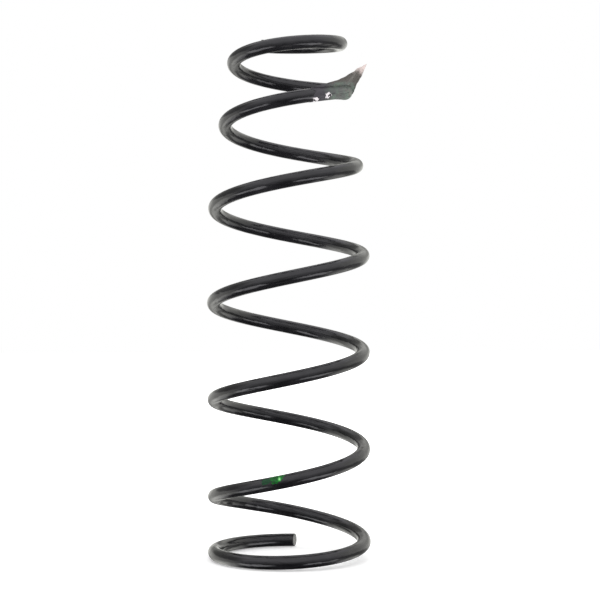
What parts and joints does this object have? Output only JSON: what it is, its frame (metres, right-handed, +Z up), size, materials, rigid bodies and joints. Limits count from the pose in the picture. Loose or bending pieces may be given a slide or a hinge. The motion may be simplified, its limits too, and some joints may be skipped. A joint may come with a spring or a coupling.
{
  "type": "suspension coil spring",
  "caption": "Open-wound helical compression spring of a car's suspension strut, of round black-coated steel bar, with a flat lower end coil and a pigtail at the top.",
  "frame": {"origin": "on the coil axis, in the plane the lower end coil rests on", "axes": "+Z up the coil axis, from the lower end coil to the pigtail; the lower bar tip is 4.5 degrees short of +Y and points along +X"},
  "size_m": [0.122, 0.122, 0.3953],
  "materials": {
    "black_coating": "satin-gloss black powder coat on a shot-peened steel bar",
    "label_film": "worn dull grey film label with scraps of torn white paper"
  },
  "bodies": {
    "lower_end": {"lower_end_coil": "black_coating"},
    "coil_1_rear_right": {"coil_1_rear_right": "black_coating"},
    "coil_1_rear": {"coil_1_rear": "black_coating"},
    "coil_1_rear_left": {"coil_1_rear_left": "black_coating"},
    "coil_1_left": {"coil_1_left": "black_coating"},
    "coil_1_front_left": {"coil_1_front_left": "black_coating"},
    "coil_1_front": {"coil_1_front": "black_coating"},
    "coil_1_front_right": {"coil_1_front_right": "black_coating"},
    "coil_1_right": {"coil_1_right": "black_coating"},
    "coil_2_rear_right": {"coil_2_rear_right": "black_coating"},
    "coil_2_rear": {"coil_2_rear": "black_coating"},
    "coil_2_rear_left": {"coil_2_rear_left": "black_coating"},
    "coil_2_left": {"coil_2_left": "black_coating"},
    "coil_2_front_left": {"coil_2_front_left": "black_coating"},
    "coil_2_front": {"coil_2_front": "black_coating"},
    "coil_2_front_right": {"coil_2_front_right": "black_coating"},
    "coil_2_right": {"coil_2_right": "black_coating"},
    "coil_3_rear_right": {"coil_3_rear_right": "black_coating"},
    "coil_3_rear": {"coil_3_rear": "black_coating"},
    "coil_3_rear_left": {"coil_3_rear_left": "black_coating"},
    "coil_3_left": {"coil_3_left": "black_coating"},
    "coil_3_front_left": {"coil_3_front_left": "black_coating"},
    "coil_3_front": {"coil_3_front": "black_coating"},
    "coil_3_front_right": {"coil_3_front_right": "black_coating"},
    "coil_3_right": {"coil_3_right": "black_coating"},
    "coil_4_rear_right": {"coil_4_rear_right": "black_coating"},
    "coil_4_rear": {"coil_4_rear": "black_coating"},
    "coil_4_rear_left": {"coil_4_rear_left": "black_coating"},
    "coil_4_left": {"coil_4_left": "black_coating"},
    "coil_4_front_left": {"coil_4_front_left": "black_coating"},
    "coil_4_front": {"coil_4_front": "black_coating"},
    "coil_4_front_right": {"coil_4_front_right": "black_coating"},
    "coil_4_right": {"coil_4_right": "black_coating"},
    "coil_5_rear_right": {"coil_5_rear_right": "black_coating"},
    "coil_5_rear": {"coil_5_rear": "black_coating"},
    "coil_5_rear_left": {"coil_5_rear_left": "black_coating"},
    "coil_5_left": {"coil_5_left": "black_coating"},
    "coil_5_front_left": {"coil_5_front_left": "black_coating"},
    "coil_5_front": {"coil_5_front": "black_coating"},
    "coil_5_front_right": {"coil_5_front_right": "black_coating", "part_label": "label_film"},
    "coil_5_right": {"coil_5_right": "black_coating"},
    "coil_6_rear_right": {"coil_6_rear_right": "black_coating"},
    "coil_6_rear": {"coil_6_rear": "black_coating"},
    "coil_6_rear_left": {"coil_6_rear_left": "black_coating"},
    "coil_6_left": {"coil_6_left": "black_coating"},
    "coil_6_front_left": {"coil_6_front_left": "black_coating"},
    "coil_6_front": {"coil_6_front": "black_coating"},
    "coil_6_front_right": {"coil_6_front_right": "black_coating"},
    "coil_6_right": {"coil_6_right": "black_coating"},
    "upper_end": {"upper_end_coil": "black_coating"}
  },
  "joints": [
    {"name": "compress", "type": "slide", "parent": "lower_end", "child": "upper_end", "axis": [0, 0, 1], "range_m": [-0.22, 0], "stiffness_N_per_m": 14570},
    {"name": "coil_1_rear_right_sinks", "type": "slide", "parent": "lower_end", "child": "coil_1_rear_right", "axis": [0, 0, 1], "range_m": [-0.00284, 0]},
    {"name": "coil_1_rear_sinks", "type": "slide", "parent": "lower_end", "child": "coil_1_rear", "axis": [0, 0, 1], "range_m": [-0.00852, 0]},
    {"name": "coil_1_rear_left_sinks", "type": "slide", "parent": "lower_end", "child": "coil_1_rear_left", "axis": [0, 0, 1], "range_m": [-0.0142, 0]},
    {"name": "coil_1_left_sinks", "type": "slide", "parent": "lower_end", "child": "coil_1_left", "axis": [0, 0, 1], "range_m": [-0.01987, 0]},
    {"name": "coil_1_front_left_sinks", "type": "slide", "parent": "lower_end", "child": "coil_1_front_left", "axis": [0, 0, 1], "range_m": [-0.02555, 0]},
    {"name": "coil_1_front_sinks", "type": "slide", "parent": "lower_end", "child": "coil_1_front", "axis": [0, 0, 1], "range_m": [-0.03123, 0]},
    {"name": "coil_1_front_right_sinks", "type": "slide", "parent": "lower_end", "child": "coil_1_front_right", "axis": [0, 0, 1], "range_m": [-0.0369, 0]},
    {"name": "coil_1_right_sinks", "type": "slide", "parent": "lower_end", "child": "coil_1_right", "axis": [0, 0, 1], "range_m": [-0.04258, 0]},
    {"name": "coil_2_rear_right_sinks", "type": "slide", "parent": "lower_end", "child": "coil_2_rear_right", "axis": [0, 0, 1], "range_m": [-0.04826, 0]},
    {"name": "coil_2_rear_sinks", "type": "slide", "parent": "lower_end", "child": "coil_2_rear", "axis": [0, 0, 1], "range_m": [-0.05394, 0]},
    {"name": "coil_2_rear_left_sinks", "type": "slide", "parent": "lower_end", "child": "coil_2_rear_left", "axis": [0, 0, 1], "range_m": [-0.05962, 0]},
    {"name": "coil_2_left_sinks", "type": "slide", "parent": "lower_end", "child": "coil_2_left", "axis": [0, 0, 1], "range_m": [-0.06529, 0]},
    {"name": "coil_2_front_left_sinks", "type": "slide", "parent": "lower_end", "child": "coil_2_front_left", "axis": [0, 0, 1], "range_m": [-0.07097, 0]},
    {"name": "coil_2_front_sinks", "type": "slide", "parent": "lower_end", "child": "coil_2_front", "axis": [0, 0, 1], "range_m": [-0.07665, 0]},
    {"name": "coil_2_front_right_sinks", "type": "slide", "parent": "lower_end", "child": "coil_2_front_right", "axis": [0, 0, 1], "range_m": [-0.08232, 0]},
    {"name": "coil_2_right_sinks", "type": "slide", "parent": "lower_end", "child": "coil_2_right", "axis": [0, 0, 1], "range_m": [-0.088, 0]},
    {"name": "coil_3_rear_right_sinks", "type": "slide", "parent": "lower_end", "child": "coil_3_rear_right", "axis": [0, 0, 1], "range_m": [-0.09368, 0]},
    {"name": "coil_3_rear_sinks", "type": "slide", "parent": "lower_end", "child": "coil_3_rear", "axis": [0, 0, 1], "range_m": [-0.09936, 0]},
    {"name": "coil_3_rear_left_sinks", "type": "slide", "parent": "lower_end", "child": "coil_3_rear_left", "axis": [0, 0, 1], "range_m": [-0.10503, 0]},
    {"name": "coil_3_left_sinks", "type": "slide", "parent": "lower_end", "child": "coil_3_left", "axis": [0, 0, 1], "range_m": [-0.11071, 0]},
    {"name": "coil_3_front_left_sinks", "type": "slide", "parent": "lower_end", "child": "coil_3_front_left", "axis": [0, 0, 1], "range_m": [-0.11639, 0]},
    {"name": "coil_3_front_sinks", "type": "slide", "parent": "lower_end", "child": "coil_3_front", "axis": [0, 0, 1], "range_m": [-0.12207, 0]},
    {"name": "coil_3_front_right_sinks", "type": "slide", "parent": "lower_end", "child": "coil_3_front_right", "axis": [0, 0, 1], "range_m": [-0.12774, 0]},
    {"name": "coil_3_right_sinks", "type": "slide", "parent": "lower_end", "child": "coil_3_right", "axis": [0, 0, 1], "range_m": [-0.13342, 0]},
    {"name": "coil_4_rear_right_sinks", "type": "slide", "parent": "lower_end", "child": "coil_4_rear_right", "axis": [0, 0, 1], "range_m": [-0.13909, 0]},
    {"name": "coil_4_rear_sinks", "type": "slide", "parent": "lower_end", "child": "coil_4_rear", "axis": [0, 0, 1], "range_m": [-0.14473, 0]},
    {"name": "coil_4_rear_left_sinks", "type": "slide", "parent": "lower_end", "child": "coil_4_rear_left", "axis": [0, 0, 1], "range_m": [-0.15027, 0]},
    {"name": "coil_4_left_sinks", "type": "slide", "parent": "lower_end", "child": "coil_4_left", "axis": [0, 0, 1], "range_m": [-0.15566, 0]},
    {"name": "coil_4_front_left_sinks", "type": "slide", "parent": "lower_end", "child": "coil_4_front_left", "axis": [0, 0, 1], "range_m": [-0.16085, 0]},
    {"name": "coil_4_front_sinks", "type": "slide", "parent": "lower_end", "child": "coil_4_front", "axis": [0, 0, 1], "range_m": [-0.16583, 0]},
    {"name": "coil_4_front_right_sinks", "type": "slide", "parent": "lower_end", "child": "coil_4_front_right", "axis": [0, 0, 1], "range_m": [-0.17056, 0]},
    {"name": "coil_4_right_sinks", "type": "slide", "parent": "lower_end", "child": "coil_4_right", "axis": [0, 0, 1], "range_m": [-0.17503, 0]},
    {"name": "coil_5_rear_right_sinks", "type": "slide", "parent": "lower_end", "child": "coil_5_rear_right", "axis": [0, 0, 1], "range_m": [-0.17922, 0]},
    {"name": "coil_5_rear_sinks", "type": "slide", "parent": "lower_end", "child": "coil_5_rear", "axis": [0, 0, 1], "range_m": [-0.18315, 0]},
    {"name": "coil_5_rear_left_sinks", "type": "slide", "parent": "lower_end", "child": "coil_5_rear_left", "axis": [0, 0, 1], "range_m": [-0.18681, 0]},
    {"name": "coil_5_left_sinks", "type": "slide", "parent": "lower_end", "child": "coil_5_left", "axis": [0, 0, 1], "range_m": [-0.19022, 0]},
    {"name": "coil_5_front_left_sinks", "type": "slide", "parent": "lower_end", "child": "coil_5_front_left", "axis": [0, 0, 1], "range_m": [-0.19339, 0]},
    {"name": "coil_5_front_sinks", "type": "slide", "parent": "lower_end", "child": "coil_5_front", "axis": [0, 0, 1], "range_m": [-0.19634, 0]},
    {"name": "coil_5_front_right_sinks", "type": "slide", "parent": "lower_end", "child": "coil_5_front_right", "axis": [0, 0, 1], "range_m": [-0.19908, 0]},
    {"name": "coil_5_right_sinks", "type": "slide", "parent": "lower_end", "child": "coil_5_right", "axis": [0, 0, 1], "range_m": [-0.20166, 0]},
    {"name": "coil_6_rear_right_sinks", "type": "slide", "parent": "lower_end", "child": "coil_6_rear_right", "axis": [0, 0, 1], "range_m": [-0.20407, 0]},
    {"name": "coil_6_rear_sinks", "type": "slide", "parent": "lower_end", "child": "coil_6_rear", "axis": [0, 0, 1], "range_m": [-0.20637, 0]},
    {"name": "coil_6_rear_left_sinks", "type": "slide", "parent": "lower_end", "child": "coil_6_rear_left", "axis": [0, 0, 1], "range_m": [-0.20856, 0]},
    {"name": "coil_6_left_sinks", "type": "slide", "parent": "lower_end", "child": "coil_6_left", "axis": [0, 0, 1], "range_m": [-0.21068, 0]},
    {"name": "coil_6_front_left_sinks", "type": "slide", "parent": "lower_end", "child": "coil_6_front_left", "axis": [0, 0, 1], "range_m": [-0.21276, 0]},
    {"name": "coil_6_front_sinks", "type": "slide", "parent": "lower_end", "child": "coil_6_front", "axis": [0, 0, 1], "range_m": [-0.21483, 0]},
    {"name": "coil_6_front_right_sinks", "type": "slide", "parent": "lower_end", "child": "coil_6_front_right", "axis": [0, 0, 1], "range_m": [-0.2169, 0]},
    {"name": "coil_6_right_sinks", "type": "slide", "parent": "lower_end", "child": "coil_6_right", "axis": [0, 0, 1], "range_m": [-0.21897, 0]}
  ],
  "couplings": [
    {"joint": "coil_1_rear_right_sinks", "follows": "compress", "ratio": 0.0129},
    {"joint": "coil_1_rear_sinks", "follows": "compress", "ratio": 0.03871},
    {"joint": "coil_1_rear_left_sinks", "follows": "compress", "ratio": 0.06452},
    {"joint": "coil_1_left_sinks", "follows": "compress", "ratio": 0.09032},
    {"joint": "coil_1_front_left_sinks", "follows": "compress", "ratio": 0.11613},
    {"joint": "coil_1_front_sinks", "follows": "compress", "ratio": 0.14194},
    {"joint": "coil_1_front_right_sinks", "follows": "compress", "ratio": 0.16774},
    {"joint": "coil_1_right_sinks", "follows": "compress", "ratio": 0.19355},
    {"joint": "coil_2_rear_right_sinks", "follows": "compress", "ratio": 0.21935},
    {"joint": "coil_2_rear_sinks", "follows": "compress", "ratio": 0.24516},
    {"joint": "coil_2_rear_left_sinks", "follows": "compress", "ratio": 0.27097},
    {"joint": "coil_2_left_sinks", "follows": "compress", "ratio": 0.29677},
    {"joint": "coil_2_front_left_sinks", "follows": "compress", "ratio": 0.32258},
    {"joint": "coil_2_front_sinks", "follows": "compress", "ratio": 0.34839},
    {"joint": "coil_2_front_right_sinks", "follows": "compress", "ratio": 0.37419},
    {"joint": "coil_2_right_sinks", "follows": "compress", "ratio": 0.4},
    {"joint": "coil_3_rear_right_sinks", "follows": "compress", "ratio": 0.42581},
    {"joint": "coil_3_rear_sinks", "follows": "compress", "ratio": 0.45161},
    {"joint": "coil_3_rear_left_sinks", "follows": "compress", "ratio": 0.47742},
    {"joint": "coil_3_left_sinks", "follows": "compress", "ratio": 0.50322},
    {"joint": "coil_3_front_left_sinks", "follows": "compress", "ratio": 0.52903},
    {"joint": "coil_3_front_sinks", "follows": "compress", "ratio": 0.55484},
    {"joint": "coil_3_front_right_sinks", "follows": "compress", "ratio": 0.58064},
    {"joint": "coil_3_right_sinks", "follows": "compress", "ratio": 0.60645},
    {"joint": "coil_4_rear_right_sinks", "follows": "compress", "ratio": 0.63224},
    {"joint": "coil_4_rear_sinks", "follows": "compress", "ratio": 0.65786},
    {"joint": "coil_4_rear_left_sinks", "follows": "compress", "ratio": 0.68303},
    {"joint": "coil_4_left_sinks", "follows": "compress", "ratio": 0.70752},
    {"joint": "coil_4_front_left_sinks", "follows": "compress", "ratio": 0.73115},
    {"joint": "coil_4_front_sinks", "follows": "compress", "ratio": 0.75377},
    {"joint": "coil_4_front_right_sinks", "follows": "compress", "ratio": 0.77527},
    {"joint": "coil_4_right_sinks", "follows": "compress", "ratio": 0.79557},
    {"joint": "coil_5_rear_right_sinks", "follows": "compress", "ratio": 0.81465},
    {"joint": "coil_5_rear_sinks", "follows": "compress", "ratio": 0.8325},
    {"joint": "coil_5_rear_left_sinks", "follows": "compress", "ratio": 0.84915},
    {"joint": "coil_5_left_sinks", "follows": "compress", "ratio": 0.86464},
    {"joint": "coil_5_front_left_sinks", "follows": "compress", "ratio": 0.87904},
    {"joint": "coil_5_front_sinks", "follows": "compress", "ratio": 0.89244},
    {"joint": "coil_5_front_right_sinks", "follows": "compress", "ratio": 0.90492},
    {"joint": "coil_5_right_sinks", "follows": "compress", "ratio": 0.91661},
    {"joint": "coil_6_rear_right_sinks", "follows": "compress", "ratio": 0.9276},
    {"joint": "coil_6_rear_sinks", "follows": "compress", "ratio": 0.93802},
    {"joint": "coil_6_rear_left_sinks", "follows": "compress", "ratio": 0.94798},
    {"joint": "coil_6_left_sinks", "follows": "compress", "ratio": 0.95763},
    {"joint": "coil_6_front_left_sinks", "follows": "compress", "ratio": 0.96708},
    {"joint": "coil_6_front_sinks", "follows": "compress", "ratio": 0.97649},
    {"joint": "coil_6_front_right_sinks", "follows": "compress", "ratio": 0.98589},
    {"joint": "coil_6_right_sinks", "follows": "compress", "ratio": 0.9953}
  ]
}
